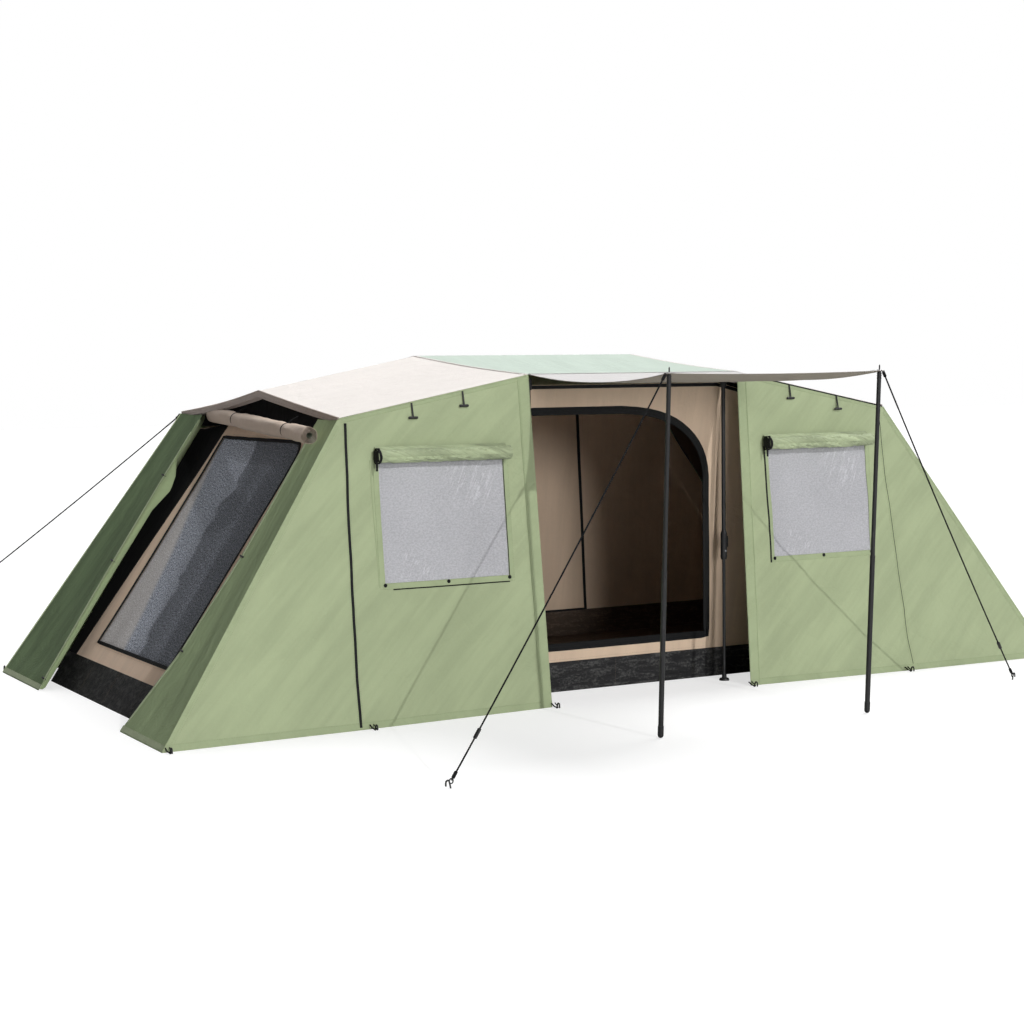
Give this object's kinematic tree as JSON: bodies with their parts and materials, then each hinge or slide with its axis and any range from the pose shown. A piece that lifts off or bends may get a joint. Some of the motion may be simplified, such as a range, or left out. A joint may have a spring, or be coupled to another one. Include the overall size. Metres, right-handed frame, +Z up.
{
  "type": "frame tent",
  "caption": "Instant-up cabin tent: telescoping steel frame under a green fly with cream roof, tan inner tent with a tub floor, and an awning on poles.",
  "frame": {"origin": "on the ground under the middle of the tent, at the underside of the tub floor", "axes": "+X along the long side, to the right as seen from the doorway; +Y to the back, away from the awning; +Z up"},
  "size_m": [7.7106, 5.4763, 2.129],
  "materials": {
    "steel_black": "satin black powder coat",
    "plastic_black": "moulded black nylon",
    "button_grey": "grey push button",
    "fly_green": "sage green coated polyester",
    "roof_mint": "mint green coated polyester",
    "roof_cream": "off-white coated polyester",
    "awning_pale": "pale coated polyester, tan underneath",
    "inner_tan": "tan breathable polyester",
    "tub_black": "black woven polyethylene",
    "guy_black": "black braided rope"
  },
  "bodies": {
    "ground": {"inner_floor": "tub_black", "centre_leg_lower_front_left": "steel_black", "centre_leg_lower_front_right": "steel_black", "centre_leg_lower_back_left": "steel_black", "centre_leg_lower_back_right": "steel_black", "fly_wall_front_left": "fly_green", "fly_wall_front_right": "fly_green", "fly_wall_back": "fly_green", "inner_wall_front": "inner_tan", "inner_wall_back": "inner_tan", "inner_wall_left": "inner_tan", "inner_wall_right": "inner_tan", "guy_awning_left": "guy_black", "guy_awning_right": "guy_black", "guy_back_left": "guy_black", "guy_back_right": "guy_black"},
    "roof": {"hub_left": "plastic_black", "hub_right": "plastic_black", "ridge_pole": "steel_black", "centre_arm_front_left": "steel_black", "centre_arm_front_right": "steel_black", "centre_arm_back_left": "steel_black", "centre_arm_back_right": "steel_black", "end_arm_front_left": "steel_black", "end_arm_front_right": "steel_black", "end_arm_back_left": "steel_black", "end_arm_back_right": "steel_black", "centre_leg_upper_front_left": "steel_black", "centre_leg_upper_front_right": "steel_black", "centre_leg_upper_back_left": "steel_black", "centre_leg_upper_back_right": "steel_black", "fly_roof_centre": "roof_mint", "fly_roof_left": "roof_cream", "fly_roof_right": "roof_cream", "awning_canopy": "awning_pale", "inner_ceiling": "inner_tan", "window_cover_roll_left": "fly_green", "window_cover_roll_right": "fly_green", "end_cover_roll_left": "inner_tan", "end_cover_roll_right": "inner_tan"},
    "end_leg_upper_front_left": {"end_leg_upper_front_left": "steel_black"},
    "end_leg_lower_front_left": {"end_leg_lower_front_left": "steel_black"},
    "end_leg_upper_front_right": {"end_leg_upper_front_right": "steel_black"},
    "end_leg_lower_front_right": {"end_leg_lower_front_right": "steel_black"},
    "end_leg_upper_back_left": {"end_leg_upper_back_left": "steel_black"},
    "end_leg_lower_back_left": {"end_leg_lower_back_left": "steel_black"},
    "end_leg_upper_back_right": {"end_leg_upper_back_right": "steel_black"},
    "end_leg_lower_back_right": {"end_leg_lower_back_right": "steel_black"},
    "awning_pole_upper_left": {"awning_pole_upper_left": "steel_black"},
    "awning_pole_lower_left": {"awning_pole_lower_left": "steel_black"},
    "awning_pole_upper_right": {"awning_pole_upper_right": "steel_black"},
    "awning_pole_lower_right": {"awning_pole_lower_right": "steel_black"},
    "centre_lock_button_front_left": {"centre_lock_button_front_left": "button_grey"},
    "end_lock_button_front_left": {"end_lock_button_front_left": "button_grey"},
    "centre_lock_button_front_right": {"centre_lock_button_front_right": "button_grey"},
    "end_lock_button_front_right": {"end_lock_button_front_right": "button_grey"},
    "centre_lock_button_back_left": {"centre_lock_button_back_left": "button_grey"},
    "end_lock_button_back_left": {"end_lock_button_back_left": "button_grey"},
    "centre_lock_button_back_right": {"centre_lock_button_back_right": "button_grey"},
    "end_lock_button_back_right": {"end_lock_button_back_right": "button_grey"}
  },
  "joints": [
    {"name": "roof_lower", "type": "slide", "parent": "ground", "child": "roof", "axis": [0, 0, -1], "range_m": [0, 0.72], "deforming": ["fly_wall_front_left", "fly_wall_front_right", "fly_wall_back", "inner_wall_front", "inner_wall_back", "inner_wall_left", "inner_wall_right", "guy_awning_left", "guy_awning_right", "guy_back_left", "guy_back_right"]},
    {"name": "end_leg_swing_front_left", "type": "hinge", "parent": "roof", "child": "end_leg_upper_front_left", "pos_m": [-1.95, -1.27, 1.705], "axis": [-0.087, 0.9962, 0], "range_deg": [0, 15.64]},
    {"name": "end_leg_slide_front_left", "type": "slide", "parent": "end_leg_upper_front_left", "child": "end_leg_lower_front_left", "axis": [0.521, 0.0455, 0.8523], "range_m": [0, 0.5646]},
    {"name": "end_leg_swing_front_right", "type": "hinge", "parent": "roof", "child": "end_leg_upper_front_right", "pos_m": [1.95, -1.27, 1.705], "axis": [-0.087, -0.9962, 0], "range_deg": [0, 15.64]},
    {"name": "end_leg_slide_front_right", "type": "slide", "parent": "end_leg_upper_front_right", "child": "end_leg_lower_front_right", "axis": [-0.521, 0.0455, 0.8523], "range_m": [0, 0.5646]},
    {"name": "end_leg_swing_back_left", "type": "hinge", "parent": "roof", "child": "end_leg_upper_back_left", "pos_m": [-1.95, 1.27, 1.705], "axis": [0.087, 0.9962, 0], "range_deg": [0, 15.64]},
    {"name": "end_leg_slide_back_left", "type": "slide", "parent": "end_leg_upper_back_left", "child": "end_leg_lower_back_left", "axis": [0.521, -0.0455, 0.8523], "range_m": [0, 0.5646]},
    {"name": "end_leg_swing_back_right", "type": "hinge", "parent": "roof", "child": "end_leg_upper_back_right", "pos_m": [1.95, 1.27, 1.705], "axis": [0.087, -0.9962, 0], "range_deg": [0, 15.64]},
    {"name": "end_leg_slide_back_right", "type": "slide", "parent": "end_leg_upper_back_right", "child": "end_leg_lower_back_right", "axis": [-0.521, -0.0455, 0.8523], "range_m": [0, 0.5646]},
    {"name": "awning_pole_swing_left", "type": "hinge", "parent": "roof", "child": "awning_pole_upper_left", "pos_m": [-0.722, -2.842, 2], "axis": [1, 0, 0], "range_deg": [0, 1.81]},
    {"name": "awning_pole_slide_left", "type": "slide", "parent": "awning_pole_upper_left", "child": "awning_pole_lower_left", "axis": [0, -0.0524, 0.9986], "range_m": [0, 0.7205]},
    {"name": "awning_pole_swing_right", "type": "hinge", "parent": "roof", "child": "awning_pole_upper_right", "pos_m": [0.722, -2.842, 2], "axis": [1, 0, 0], "range_deg": [0, 1.81]},
    {"name": "awning_pole_slide_right", "type": "slide", "parent": "awning_pole_upper_right", "child": "awning_pole_lower_right", "axis": [0, -0.0524, 0.9986], "range_m": [0, 0.7205]},
    {"name": "centre_lock_press_front_left", "type": "slide", "parent": "roof", "child": "centre_lock_button_front_left", "axis": [0, 1, 0], "range_m": [0, 0.0035], "stiffness_N_per_m": 400, "springref_m": -0.003},
    {"name": "end_lock_press_front_left", "type": "slide", "parent": "end_leg_upper_front_left", "child": "end_lock_button_front_left", "axis": [0.8491, 0.0742, -0.523], "range_m": [0, 0.0035], "stiffness_N_per_m": 400, "springref_m": -0.003},
    {"name": "centre_lock_press_front_right", "type": "slide", "parent": "roof", "child": "centre_lock_button_front_right", "axis": [0, 1, 0], "range_m": [0, 0.0035], "stiffness_N_per_m": 400, "springref_m": -0.003},
    {"name": "end_lock_press_front_right", "type": "slide", "parent": "end_leg_upper_front_right", "child": "end_lock_button_front_right", "axis": [-0.8491, 0.0742, -0.523], "range_m": [0, 0.0035], "stiffness_N_per_m": 400, "springref_m": -0.003},
    {"name": "centre_lock_press_back_left", "type": "slide", "parent": "roof", "child": "centre_lock_button_back_left", "axis": [0, -1, 0], "range_m": [0, 0.0035], "stiffness_N_per_m": 400, "springref_m": -0.003},
    {"name": "end_lock_press_back_left", "type": "slide", "parent": "end_leg_upper_back_left", "child": "end_lock_button_back_left", "axis": [0.8491, -0.0742, -0.523], "range_m": [0, 0.0035], "stiffness_N_per_m": 400, "springref_m": -0.003},
    {"name": "centre_lock_press_back_right", "type": "slide", "parent": "roof", "child": "centre_lock_button_back_right", "axis": [0, -1, 0], "range_m": [0, 0.0035], "stiffness_N_per_m": 400, "springref_m": -0.003},
    {"name": "end_lock_press_back_right", "type": "slide", "parent": "end_leg_upper_back_right", "child": "end_lock_button_back_right", "axis": [-0.8491, -0.0742, -0.523], "range_m": [0, 0.0035], "stiffness_N_per_m": 400, "springref_m": -0.003}
  ],
  "couplings": [
    {"joint": "end_leg_swing_front_left", "follows": "roof_lower", "rad_per_m": 0.37431},
    {"joint": "end_leg_slide_front_left", "follows": "roof_lower", "ratio": 0.78143},
    {"joint": "end_leg_swing_front_right", "follows": "roof_lower", "rad_per_m": 0.37431},
    {"joint": "end_leg_slide_front_right", "follows": "roof_lower", "ratio": 0.78143},
    {"joint": "end_leg_swing_back_left", "follows": "roof_lower", "rad_per_m": 0.37431},
    {"joint": "end_leg_slide_back_left", "follows": "roof_lower", "ratio": 0.78143},
    {"joint": "end_leg_swing_back_right", "follows": "roof_lower", "rad_per_m": 0.37431},
    {"joint": "end_leg_slide_back_right", "follows": "roof_lower", "ratio": 0.78143},
    {"joint": "awning_pole_swing_left", "follows": "roof_lower", "rad_per_m": 0.041334},
    {"joint": "awning_pole_slide_left", "follows": "roof_lower", "ratio": 0.99785},
    {"joint": "awning_pole_swing_right", "follows": "roof_lower", "rad_per_m": 0.041334},
    {"joint": "awning_pole_slide_right", "follows": "roof_lower", "ratio": 0.99785}
  ]
}
